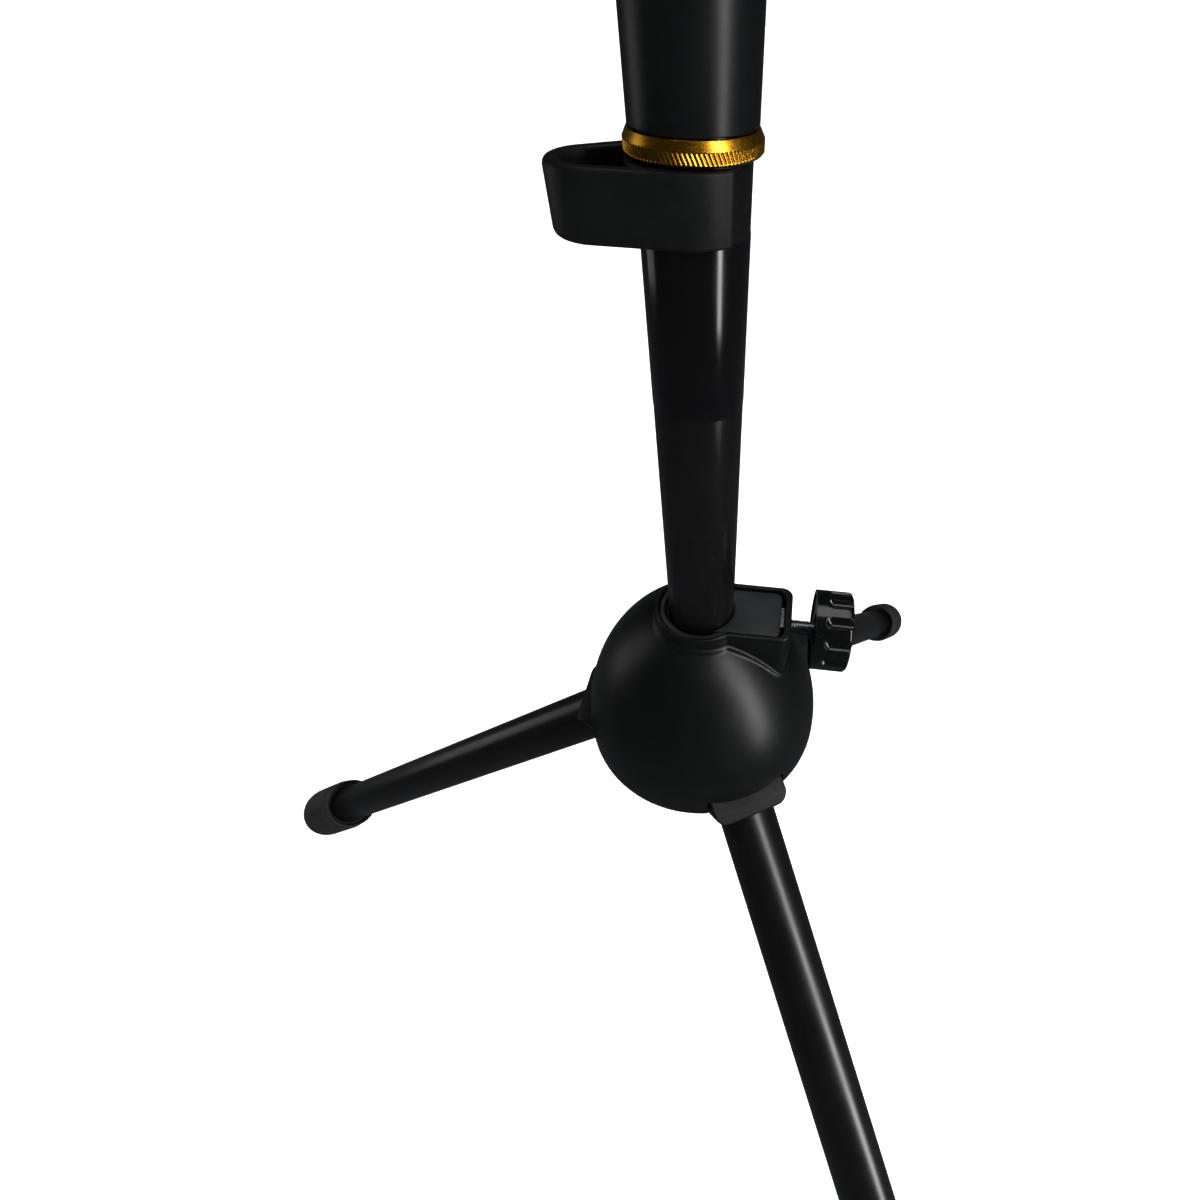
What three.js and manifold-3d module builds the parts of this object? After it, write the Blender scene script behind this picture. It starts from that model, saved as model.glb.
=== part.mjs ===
// Desktop microphone stand: three folding legs on an egg-shaped hub, a sliding outer tube held by a
// thumbscrew, and a telescoping inner tube held by a twist clutch.
// Millimetres, +Z up, floor at z = 0, origin at the middle of the footprint's box.
import * as THREE from 'three';
import { mergeVertices } from 'three/addons/utils/BufferGeometryUtils.js';
import Module from 'manifold-3d';

const wasm = await Module();
wasm.setup();

const degrees = THREE.MathUtils.degToRad;

// Clearances between pieces.
const fitGap = 0.3; // faces that meet inside turned groups
const slideGap = 0.25; // a tube in its bush
const seatGap = 0.15; // fixed pieces that touch
const through = 5; // how far a cutting tool runs past the piece it cuts

// Outer tube and what it carries, heights measured from the hub's widest circle.
const tubeRadius = 10;
const tubeWall = 1.2;
const ringLip = 1.4; // end ring's flange beyond the bush's bore
const ringPlug = 8; // end ring's length inside the tube
const tubeBelow = 3; // end of the tube below the hub
const ringBottom = 171.5; // underside of the gold ring
const ringHeight = 3.3;
const ringProud = 1.7; // beyond the outer tube
const ringTeeth = 36;
const toothDepth = 0.25;
const clipHeight = 10.8;
const clipWall = 3;
const clipOffset = 6.5; // from the tube's surface to the middle of the loop's round end
const clipNose = 8.4; // outer radius of the loop's round end
const clipAzimuth = degrees(197);
const clipMouth = degrees(136); // opening of the snap ring, away from the loop
const clipSeatWall = 1.5;
const clipSeatShift = 0.9; // the snap ring's outside is thicker towards its mouth
const labelBottom = 127.5;
const labelGap = 0.03;
const labelThickness = 0.07;

// Clutch.
const gripProud = 0.8; // beyond the outer tube
const gripHeight = 56;
const gripEdge = 1.2;
const tubeIntoGrip = 9;
const sleeveRise = 16; // threaded sleeve above the outer tube
const sleeveDepth = 14;
const sleeveStep = 0.6; // the thread is this much smaller than the tube
const threadPitch = 2.5;
const colletHeight = 15;
const colletBand = 4; // uncut ring at the collet's foot
const colletTaper = 0.6;
const colletGap = 0.1; // round the inner tube when the clutch is loose
const colletSlots = 4;
const colletSlotWidth = 1.4;

// Inner tube and the microphone thread on its end.
const innerRadius = 7.95;
const boreGap = 0.2; // fixed pieces round the inner tube
const innerWall = 1.1;
const innerShown = 18; // above the clutch when lowered
const innerLift = 27; // lower end above the outer tube's lower end, when lowered
const innerBushHeight = 16;
const innerBushFoot = 3;
const collarRadius = 11;
const collarHeight = 10;
const studRadius = 7.94; // 5/8 inch thread
const studHeight = 15;
const studRelief = 0.9;
const reliefHeight = 1.4;
const shankStep = 3; // shank's radius below the thread's
const spigotDepth = 14;

// Hub: half an egg above its widest circle, a shallow rounded skirt below.
const hubRadius = 42;
const hubDome = 57;
const hubSkirt = 16;
const hubBase = 11; // flat underside, below the widest circle
const lipTop = 59;
const lipWall = 1.25; // collar round the guide bush
const lipRoot = 12; // how far the collar and the boss reach down into the egg
const bossRoot = 26;
const bossLength = 28.2; // from the tube's axis to the boss's outer face
const bossHalfWidth = 11;
const bossWall = 2.2;
const bossCorner = 3.5;
const bossSideWall = 1.6;
const insertDrop = 0.8; // the bush and the block sit this far below the lip
const pocketDepth = 14.5;
const boreRoom = 1.5; // between the tube and the hub's bore
const blockSideGap = 0.4;
const columnWall = 3.15; // solid core round the bushes, between the leg slots
const bushWall = 2.8;
const bushHeight = 20;
const bushChamfer = 0.9;
const lowerBushHeight = 12;
const plateThickness = 3;
const plateRadius = 27;
const plateScrewCircle = 21.5;
const plateScrewRadius = 1.5;
const plateScrewHead = 2.7;
const plateScrewLength = 14;

// Clamp: block, screw, nut and knob.
const blockTravel = 0.8;
const blockFront = 7;
const screwDrop = 6; // screw's axis below the lip
const screwRadius = 2.5;
const screwPoint = 0.8;
const nutSize = 8;
const nutThickness = 2.7;
const threadGap = 0.1;
const knobFace = 35.2; // hub side of the knob, from the tube's axis
const knobLength = 11.2;
const knobRadius = 12.6;
const knobSkirt = 3.8;
const knobFlutes = 12;
const fluteRadius = 2.1;
const fluteDepth = 1.1;
const knobSocket = 7.5;

// Legs.
const legCount = 3;
const firstLeg = degrees(180);
const legSlope = degrees(39); // below the horizontal when open
const apexRise = 23.5; // where the leg axes meet, above the hub's widest circle
const legReach = 307; // along a leg, from that point to the end of the foot
const legRadius = 10;
const legWall = 1;
const footRadius = 14.5;
const footLength = 33;
const footRound = 4;
const footEnd = 7;
const footLipDrop = 0.8;
const footLipLength = 5;
const pivotRoom = 2.3; // between the core and a leg's barrel
const pinRadius = 2.5;
const pinOverhang = 5.5; // pin beyond each side of the slot
const plugWidth = 27;
const plugCorner = 5;
const plugEnd = 51; // along a leg, where the tube leaves the plug
const plugRim = 2;
const plugBarrel = 9; // radius round the pin
const plugSocket = 4.2;
const plugSpigot = 16;
const slotSide = 0.5;

const round = 32; // facets of a tube
const fine = 20; // facets of a small round piece

// ---------- materials ----------

function finish(color, roughness, metalness) {
  return new THREE.MeshStandardMaterial({ color, roughness, metalness });
}

const satinBlack = finish('#17181a', 0.45, 0.1);
const paintedTube = finish('#0d0d0f', 0.3, 0.4);
const glossLabel = finish('#08080a', 0.08, 0.0);
const glossPlastic = finish('#101113', 0.2, 0.0);
const greyPlastic = finish('#2b2d30', 0.6, 0.0);
const mattPlastic = finish('#141416', 0.65, 0.0);
const rubber = finish('#1b1b1c', 0.85, 0.0);
const goldAnodised = finish('#c8901c', 0.3, 1.0);
const zinc = finish('#b9bcc0', 0.35, 1.0);
const steel = finish('#8b8d90', 0.4, 1.0);

// ---------- solids ----------

function solid(geometry) {
  const plain = geometry.clone();
  plain.deleteAttribute('normal');
  plain.deleteAttribute('uv');
  const merged = mergeVertices(plain, 1e-4);
  const vertProperties = new Float32Array(merged.attributes.position.array);
  const triVerts = new Uint32Array(merged.index.array);
  return new wasm.Manifold(new wasm.Mesh({ numProp: 3, vertProperties, triVerts }));
}

function geometryOf(body) {
  const mesh = body.getMesh();
  const geometry = new THREE.BufferGeometry();
  geometry.setAttribute('position', new THREE.BufferAttribute(mesh.vertProperties, 3));
  geometry.setIndex(new THREE.BufferAttribute(mesh.triVerts, 1));
  geometry.computeVertexNormals();
  return geometry;
}

function join(...geometries) {
  return geometryOf(geometries.map(solid).reduce((a, b) => a.add(b)));
}

function cut(base, ...tools) {
  return geometryOf(tools.map(solid).reduce((a, b) => a.subtract(b), solid(base)));
}

function common(a, b) {
  return geometryOf(solid(a).intersect(solid(b)));
}

// A turned piece: [radius, height] pairs, up the outside and down the inside, round the Z axis.
function turned(profile, facets = round) {
  const points = profile.map(([r, z]) => new THREE.Vector2(r, z));
  return new THREE.LatheGeometry(points, facets).rotateX(Math.PI / 2);
}

function rod(radius, bottom, top, facets = round) {
  return turned([[0, bottom], [radius, bottom], [radius, top], [0, top]], facets);
}

function pipe(inner, outer, bottom, top, facets = round) {
  return turned([[inner, bottom], [outer, bottom], [outer, top], [inner, top], [inner, bottom]], facets);
}

function alongX(geometry) {
  return geometry.rotateY(Math.PI / 2);
}

// A flat outline pulled up along Z.
function plate(shape, bottom, top, curveSegments = 5) {
  const options = { depth: top - bottom, bevelEnabled: false, curveSegments };
  return new THREE.ExtrudeGeometry(shape, options).translate(0, 0, bottom);
}

// A side profile in the XZ plane, pulled to both sides along Y.
function upright(shape, width, curveSegments = 5) {
  return plate(shape, -width / 2, width / 2, curveSegments).rotateX(Math.PI / 2);
}

function outline(points) {
  return new THREE.Shape(points.map(([x, y]) => new THREE.Vector2(x, y)));
}

// A block from x = start to x = end with its two far corners rounded.
function tongue(start, end, halfWidth, corner) {
  const shape = new THREE.Shape();
  shape.moveTo(start, -halfWidth);
  shape.lineTo(end - corner, -halfWidth);
  shape.absarc(end - corner, -halfWidth + corner, corner, -Math.PI / 2, 0);
  shape.absarc(end - corner, halfWidth - corner, corner, 0, Math.PI / 2);
  shape.lineTo(start, halfWidth);
  return shape;
}

function part(name, geometry, material) {
  const mesh = new THREE.Mesh(geometry, material);
  mesh.name = name;
  return mesh;
}

// ---------- heights and places that follow from the sizes above ----------

const ringRadius = tubeRadius + ringProud;
const gripRadius = tubeRadius + gripProud;
const clipReach = tubeRadius + clipOffset;
const bushBore = tubeRadius + slideGap;
const bushRadius = bushBore + bushWall;
const lipRadius = bushRadius + lipWall;
const columnRadius = bushRadius + columnWall;
const pivotCircle = columnRadius + plugBarrel + pivotRoom;
const pivotAlong = pivotCircle / Math.cos(legSlope); // from the apex, along a leg
const pivotRise = apexRise - pivotCircle * Math.tan(legSlope);
const footDrop = (legReach - footRound) * Math.sin(legSlope) + (footRadius - footRound) * Math.cos(legSlope)
  + footRound;
const hubZ = footDrop - apexRise; // the hub's widest circle above the floor
const insertTop = lipTop - insertDrop;
const pocketWidth = bossHalfWidth - bossSideWall;
const pocketEnd = bossLength - bossWall;
const blockEnd = pocketEnd - blockTravel - slideGap;
const blockHalfWidth = pocketWidth - blockSideGap;
const nutEnd = pocketEnd - seatGap;
const nutStart = nutEnd - nutThickness;
const screwTip = nutStart - blockTravel - slideGap;
const screwZ = lipTop - screwDrop;
const slotWidth = plugWidth + 2 * slotSide;
const tubeBottom = -hubBase - tubeBelow;
const tubeTop = ringBottom + ringHeight + seatGap + tubeIntoGrip;
const gripBottom = ringBottom + ringHeight + seatGap;
const gripTop = gripBottom + gripHeight;
const innerBottom = tubeBottom + innerLift;
const innerTop = gripTop + innerShown;
const sleeveRadius = tubeRadius - sleeveStep;
const gripBore = sleeveRadius + slideGap;
const colletBottom = tubeTop + sleeveRise + seatGap;
const colletTop = colletBottom + colletHeight;
const colletOuter = gripBore - fitGap;
const clipTop = ringBottom - fitGap;
const clipBottom = clipTop - clipHeight;

// ---------- hub ----------

function eggRadius(z, grow = 0) {
  const height = (z > 0 ? hubDome : hubSkirt) + grow;
  return (hubRadius + grow) * Math.sqrt(Math.max(0, 1 - (z / height) ** 2));
}

function egg() {
  const profile = [[0, -hubBase]];
  const rows = 12;
  for (let i = 0; i <= 4; i += 1) {
    const z = -hubBase * (1 - (i / 4) ** 1.3);
    profile.push([eggRadius(z), z]);
  }
  for (let i = 1; i <= rows; i += 1) {
    const z = hubDome * Math.sin((i / rows) * Math.PI / 2);
    profile.push([i === rows ? 0 : eggRadius(z), z]);
  }
  return turned(profile, 56);
}

function bossBlock(bottom) {
  return plate(tongue(0, bossLength, bossHalfWidth, bossCorner), bottom, lipTop);
}

function blockPocket() {
  return plate(tongue(0, pocketEnd, pocketWidth, bossCorner - 1), lipTop - pocketDepth, lipTop + through);
}

// The room that a leg needs, as a side profile in the leg's upright plane.
function slotShape() {
  const along = (s, v) => [
    s * Math.cos(legSlope) + v * Math.sin(legSlope),
    apexRise - s * Math.sin(legSlope) + v * Math.cos(legSlope),
  ];
  const roof = legRadius + plugRim + slotSide;
  const far = hubRadius * 2;
  const low = -hubBase * 3;
  const barrelRoom = plugBarrel + 2 * slotSide;
  const shape = new THREE.Shape();
  shape.moveTo(columnRadius, low);
  shape.lineTo(far, low);
  shape.lineTo(...along(far, roof));
  shape.lineTo(...along(plugEnd - plugSocket, roof));
  shape.absarc(pivotCircle, pivotRise, barrelRoom, Math.PI / 2 - legSlope, degrees(150));
  shape.lineTo(columnRadius, pivotRise + plugBarrel / 3);
  return shape;
}

function atLegs(makeGeometry) {
  return Array.from({ length: legCount }, (_, i) => makeGeometry().rotateZ(legAzimuth(i)));
}

function legAzimuth(index) {
  return firstLeg + index * 2 * Math.PI / legCount;
}

function pinHole() {
  const length = slotWidth + 2 * pinOverhang;
  return rod(pinRadius + seatGap, -length / 2, length / 2, fine)
    .rotateX(Math.PI / 2)
    .translate(pivotCircle, 0, pivotRise);
}

function plateScrewPlaces() {
  return Array.from({ length: legCount }, (_, i) => {
    const azimuth = legAzimuth(i) + Math.PI / legCount;
    return [plateScrewCircle * Math.cos(azimuth), plateScrewCircle * Math.sin(azimuth)];
  });
}

function hubShell() {
  const body = join(egg(), rod(lipRadius, lipTop - lipRoot, lipTop), bossBlock(lipTop - bossRoot));
  const screwHoles = plateScrewPlaces().map(([x, y]) => rod(
    plateScrewRadius + seatGap,
    -hubBase - 1,
    -hubBase + plateScrewLength,
    12,
  ).translate(x, y, 0));
  const bushSeat = rod(bushRadius + seatGap, insertTop - bushHeight - seatGap, lipTop + through);
  const lowerSeatTop = -hubBase + plateThickness + lowerBushHeight;
  const lowerSeat = rod(bushRadius + seatGap, -hubBase - through, lowerSeatTop);
  const screwHole = alongX(rod(screwRadius + fitGap, pocketEnd - through, bossLength + through, fine))
    .translate(0, 0, screwZ);
  return cut(
    body,
    rod(tubeRadius + boreRoom, -hubBase - through, lipTop + through),
    bushSeat,
    lowerSeat,
    blockPocket(),
    screwHole,
    rod(plateRadius + seatGap, -hubBase - through, -hubBase + plateThickness + seatGap),
    ...screwHoles,
    ...atLegs(() => upright(slotShape(), slotWidth)),
    ...atLegs(pinHole),
  );
}

function guideBush() {
  const bottom = insertTop - bushHeight;
  const ring = turned([
    [bushBore, bottom],
    [bushRadius, bottom],
    [bushRadius, insertTop],
    [bushBore + bushChamfer, insertTop],
    [bushBore, insertTop - bushChamfer],
    [bushBore, bottom],
  ]);
  const gate = plate(
    tongue(0, bushRadius * 2, blockHalfWidth + fitGap, 1),
    lipTop - pocketDepth - seatGap,
    lipTop,
  );
  return cut(ring, gate);
}

function lowerBush() {
  const bottom = -hubBase + plateThickness + 2 * seatGap;
  return pipe(bushBore, bushRadius, bottom, bottom + lowerBushHeight - 4 * seatGap);
}

function basePlate() {
  const disc = pipe(bushBore + fitGap, plateRadius, -hubBase, -hubBase + plateThickness);
  const holes = plateScrewPlaces().map(([x, y]) => rod(
    plateScrewRadius + seatGap,
    -hubBase - 1,
    -hubBase + plateThickness + 1,
    12,
  ).translate(x, y, 0));
  return cut(disc, ...holes, ...atLegs(() => upright(slotShape(), slotWidth + 2 * slotSide)));
}

function plateScrew() {
  const headTop = -hubBase - seatGap;
  const screwEnd = -hubBase + plateScrewLength - 2 * seatGap;
  const headHeight = 1.8;
  return turned([
    [0, headTop - headHeight],
    [plateScrewHead * 0.6, headTop - headHeight],
    [plateScrewHead, headTop - headHeight * 0.4],
    [plateScrewHead, headTop],
    [plateScrewRadius, headTop],
    [plateScrewRadius, screwEnd - 1],
    [0, screwEnd],
  ], 12);
}

function pivotPin() {
  const length = slotWidth + 2 * (pinOverhang - fitGap);
  return rod(pinRadius, -length / 2, length / 2, fine)
    .rotateX(Math.PI / 2)
    .translate(pivotCircle, 0, pivotRise);
}

// ---------- clamp ----------

function pressureBlock() {
  const body = plate(
    tongue(blockFront, blockEnd, blockHalfWidth, bossCorner - 1.4),
    lipTop - pocketDepth + fitGap,
    insertTop,
  );
  const tubeRoom = rod(tubeRadius + seatGap, 0, lipTop + through);
  const nutRoom = plate(
    tongue(screwTip + 0.1, bossLength, nutSize / 2 + fitGap, 0.5),
    0,
    screwZ + nutSize / 2 + fitGap,
  );
  return cut(body, tubeRoom, nutRoom);
}

function clampNut() {
  const shape = tongue(nutStart, nutEnd, nutSize / 2, 0.4);
  const body = plate(shape, screwZ - nutSize / 2, screwZ + nutSize / 2);
  const hole = alongX(rod(screwRadius + threadGap, nutStart - 1, nutEnd + 1, fine)).translate(0, 0, screwZ);
  return cut(body, hole);
}

function clampScrew() {
  const start = screwTip + slideGap;
  const end = knobFace + knobSocket - fitGap;
  return alongX(turned([
    [0, start],
    [screwRadius - screwPoint, start],
    [screwRadius, start + screwPoint],
    [screwRadius, end],
    [0, end],
  ], fine)).translate(0, 0, screwZ);
}

function knobOutline() {
  const shape = new THREE.Shape();
  const step = 2 * Math.PI / knobFlutes;
  const centre = knobRadius - fluteDepth + fluteRadius;
  const half = Math.acos((centre ** 2 + knobRadius ** 2 - fluteRadius ** 2) / (2 * centre * knobRadius));
  const pointsPerFlute = 3;
  const pointsPerRidge = 2;
  const points = [];
  for (let i = 0; i < knobFlutes; i += 1) {
    const middle = i * step;
    const swing = Math.asin(knobRadius * Math.sin(half) / fluteRadius);
    for (let j = 0; j <= pointsPerFlute; j += 1) {
      const turn = middle + Math.PI + swing * (1 - 2 * j / pointsPerFlute);
      points.push([
        centre * Math.cos(middle) + fluteRadius * Math.cos(turn),
        centre * Math.sin(middle) + fluteRadius * Math.sin(turn),
      ]);
    }
    for (let j = 1; j < pointsPerRidge; j += 1) {
      const turn = middle + half + (step - 2 * half) * j / pointsPerRidge;
      points.push([knobRadius * Math.cos(turn), knobRadius * Math.sin(turn)]);
    }
  }
  shape.setFromPoints(points.map(([x, y]) => new THREE.Vector2(x, y)));
  return shape;
}

function clampKnob() {
  const body = turned([
    [0, 0],
    [knobRadius - 1, 0],
    [knobRadius, 1],
    [knobRadius, knobLength - 2],
    [knobRadius - 0.6, knobLength - 0.6],
    [knobRadius - 2, knobLength],
    [0, knobLength],
  ], 48);
  const fluted = plate(knobOutline(), knobSkirt, knobLength + 1);
  const skirt = rod(knobRadius + 1, -1, knobSkirt, 48);
  const socket = rod(screwRadius + seatGap, -1, knobSocket, fine);
  const shaped = cut(common(body, join(fluted, skirt)), socket);
  return alongX(shaped).translate(knobFace, 0, screwZ);
}

// ---------- legs: x runs along the leg from the pin, y along the pin ----------

function plugSide() {
  const rim = legRadius + plugRim;
  const end = plugEnd - pivotAlong;
  const shape = new THREE.Shape();
  shape.moveTo(end, -rim);
  shape.lineTo(end, rim);
  shape.lineTo(end - plugSocket, rim);
  shape.absarc(0, 0, plugBarrel, Math.PI / 2, 3 * Math.PI / 2);
  shape.lineTo(end - plugSocket - 0.5, -plugBarrel);
  shape.lineTo(end - plugSocket + 0.5, -rim);
  return shape;
}

function legPlug() {
  const end = plugEnd - pivotAlong;
  const tall = plugBarrel + legRadius * 3;
  const plan = plate(tongue(-plugBarrel - 1, end, plugWidth / 2, plugCorner), -tall, tall);
  const body = common(upright(plugSide(), plugWidth + 4), plan);
  const spigotRadius = legRadius - legWall - fitGap;
  const socket = alongX(pipe(spigotRadius, legRadius + fitGap, end - plugSocket, end + through, fine));
  const spigot = alongX(rod(spigotRadius - seatGap, end - plugSocket - 1, end + plugSpigot, fine));
  const hole = rod(pinRadius + slideGap, -plugWidth, plugWidth, fine).rotateX(Math.PI / 2);
  return cut(join(cut(body, socket), spigot), hole);
}

function legTube() {
  const start = plugEnd - pivotAlong - plugSocket + fitGap;
  const end = legReach - pivotAlong - footEnd - fitGap;
  return alongX(pipe(legRadius - legWall, legRadius, start, end));
}

function legFoot() {
  const end = legReach - pivotAlong;
  const start = end - footLength;
  const bore = legRadius + fitGap;
  const profile = [
    [bore, start],
    [footRadius - footLipDrop - 1, start],
    [footRadius - footLipDrop, start + 1],
    [footRadius - footLipDrop, start + footLipLength],
    [footRadius, start + footLipLength + 0.8],
  ];
  const steps = 3;
  for (let i = 0; i <= steps; i += 1) {
    const turn = (i / steps) * Math.PI / 2;
    profile.push([
      footRadius - footRound + footRound * Math.cos(turn),
      end - footRound + footRound * Math.sin(turn),
    ]);
  }
  profile.push([0, end]);
  const body = turned([[0, start], ...profile], 28);
  return alongX(cut(body, rod(bore, start - 1, end - footEnd, 28)));
}

function leg(index) {
  const group = new THREE.Group();
  const number = index + 1;
  group.add(part(`leg_plug_${number}`, legPlug(), mattPlastic));
  group.add(part(`leg_tube_${number}`, legTube(), paintedTube));
  group.add(part(`rubber_foot_${number}`, legFoot(), rubber));
  group.position.set(pivotCircle, 0, pivotRise);
  group.rotation.y = legSlope;
  const side = new THREE.Group();
  side.add(group);
  side.rotation.z = legAzimuth(index);
  return side;
}

// ---------- outer tube ----------

function outerTube() {
  return pipe(tubeRadius - tubeWall, tubeRadius, tubeBottom, tubeTop);
}

function tubeEndRing() {
  const plugIn = tubeRadius - tubeWall - seatGap;
  const flange = bushBore + ringLip;
  const bore = innerRadius + boreGap;
  const top = tubeBottom - seatGap;
  const bottom = top - 2;
  const plugTop = top + ringPlug;
  return turned([
    [bore, bottom],
    [flange - 0.6, bottom],
    [flange, bottom + 0.6],
    [flange, top],
    [plugIn, top],
    [plugIn, plugTop],
    [bore, plugTop],
    [bore, bottom],
  ]);
}

function labelSleeve() {
  const inner = tubeRadius + labelGap;
  return pipe(inner, inner + labelThickness, labelBottom, clipBottom - fitGap);
}

function cableClip() {
  const outer = clipOutline(0);
  const body = plate(outer, clipBottom, clipTop, 12);
  const loop = cut(
    plate(clipOutline(clipWall), clipBottom - 1, clipTop + 1, 12),
    rod(tubeRadius + slideGap + clipSeatWall, clipBottom - through, clipTop + through),
  );
  const seat = rod(tubeRadius + slideGap + seatGap, clipBottom - 1, clipTop + 1);
  const mouth = new THREE.Shape();
  mouth.moveTo(0, 0);
  mouth.absarc(0, 0, tubeRadius * 2, Math.PI - clipMouth / 2, Math.PI + clipMouth / 2);
  const gap = plate(mouth, clipBottom - 1, clipTop + 1, 6);
  return cut(body, loop, seat, gap).rotateZ(clipAzimuth);
}

// Loop outline drawn with the loop along +X, drawn in by inset.
function clipOutline(inset) {
  const back = tubeRadius + slideGap + clipSeatWall;
  const big = back + clipSeatShift - inset;
  const small = clipNose - inset;
  const distance = clipReach - clipSeatShift;
  const lean = Math.acos((big - small) / distance);
  const shape = new THREE.Shape();
  shape.absarc(clipReach, 0, small, -lean, lean);
  shape.absarc(clipSeatShift, 0, big, lean, 2 * Math.PI - lean);
  return shape;
}

function lockRing() {
  const points = [];
  for (let i = 0; i < ringTeeth; i += 1) {
    const turn = i * 2 * Math.PI / ringTeeth;
    const quarter = Math.PI / ringTeeth / 2;
    points.push([ringRadius * Math.cos(turn - quarter), ringRadius * Math.sin(turn - quarter)]);
    points.push([ringRadius * Math.cos(turn + quarter), ringRadius * Math.sin(turn + quarter)]);
    const valley = ringRadius - toothDepth;
    const middle = turn + 2 * quarter;
    points.push([valley * Math.cos(middle), valley * Math.sin(middle)]);
  }
  const body = plate(outline(points), ringBottom, ringBottom + ringHeight);
  return cut(body, rod(tubeRadius + slideGap, ringBottom - 1, ringBottom + ringHeight + 1));
}

function threadedSleeve() {
  const outerIn = tubeRadius - tubeWall - seatGap;
  const bore = innerRadius + boreGap;
  const start = tubeTop + seatGap;
  const profile = [
    [bore, tubeTop - sleeveDepth],
    [outerIn, tubeTop - sleeveDepth],
    [outerIn, start],
    [sleeveRadius, start],
  ];
  const turns = Math.floor((sleeveRise - 3) / threadPitch);
  for (let i = 0; i < turns; i += 1) {
    const z = start + 1 + i * threadPitch;
    profile.push([sleeveRadius, z], [sleeveRadius - 0.5, z + threadPitch / 2]);
  }
  profile.push([sleeveRadius, tubeTop + sleeveRise], [bore, tubeTop + sleeveRise]);
  profile.push([bore, tubeTop - sleeveDepth]);
  return turned(profile, fine);
}

function collet() {
  const bore = innerRadius + colletGap;
  const shoulder = colletBottom + colletBand;
  const ring = turned([
    [bore, colletBottom],
    [colletOuter, colletBottom],
    [colletOuter, shoulder],
    [colletOuter - colletTaper, colletTop],
    [bore, colletTop],
    [bore, colletBottom],
  ], 32);
  const slots = Array.from({ length: colletSlots }, (_, i) => plate(
    outline([
      [0, -colletSlotWidth / 2],
      [gripRadius, -colletSlotWidth / 2],
      [gripRadius, colletSlotWidth / 2],
      [0, colletSlotWidth / 2],
    ]),
    shoulder,
    colletTop + 1,
  ).rotateZ(i * 2 * Math.PI / colletSlots));
  return cut(ring, ...slots);
}

// ---------- clutch grip ----------

function clutchGrip() {
  const topBore = innerRadius + slideGap;
  const skirtBore = tubeRadius + slideGap;
  const coneTop = colletTop + colletBand - 1;
  const coneDrop = colletBand - 1.5;
  return turned([
    [skirtBore, gripBottom],
    [gripRadius - 0.3, gripBottom],
    [gripRadius, gripBottom + 0.4],
    [gripRadius, gripTop - gripEdge],
    [gripRadius - gripEdge, gripTop],
    [topBore, gripTop],
    [topBore, coneTop],
    [gripBore, coneTop - coneDrop],
    [gripBore, tubeTop + 0.6],
    [skirtBore, tubeTop + 0.5],
    [skirtBore, gripBottom],
  ]);
}

// ---------- inner tube ----------

function innerTube() {
  return pipe(innerRadius - innerWall, innerRadius, innerBottom, innerTop);
}

function innerBush() {
  const outer = tubeRadius - tubeWall - boreGap;
  const low = innerBottom - innerBushFoot;
  const neck = innerRadius - innerWall - seatGap;
  const bore = innerRadius - innerWall - 2;
  return turned([
    [bore, low],
    [outer, low],
    [outer, innerBottom - seatGap],
    [neck, innerBottom - seatGap],
    [neck, innerBottom + innerBushHeight],
    [bore, innerBottom + innerBushHeight],
    [bore, low],
  ], 32);
}

function studCollar() {
  const bottom = innerTop + seatGap;
  const spigot = innerRadius - innerWall - seatGap;
  const hole = studRadius - shankStep;
  return turned([
    [hole, innerTop - spigotDepth],
    [spigot, innerTop - spigotDepth],
    [spigot, bottom],
    [collarRadius - 1, bottom],
    [collarRadius, bottom + 1],
    [collarRadius, bottom + collarHeight - 0.8],
    [collarRadius - 0.8, bottom + collarHeight],
    [hole, bottom + collarHeight],
    [hole, innerTop - spigotDepth],
  ]);
}

function micStud() {
  const seat = innerTop + collarHeight + 2 * seatGap;
  const shank = studRadius - shankStep - seatGap;
  return turned([
    [0, innerTop],
    [shank, innerTop],
    [shank, seat],
    [studRadius - studRelief, seat],
    [studRadius - studRelief, seat + reliefHeight],
    [studRadius, seat + reliefHeight + studRelief],
    [studRadius, seat + studHeight - 1],
    [studRadius - 1, seat + studHeight],
    [0, seat + studHeight],
  ]);
}

// ---------- the stand ----------

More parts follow.
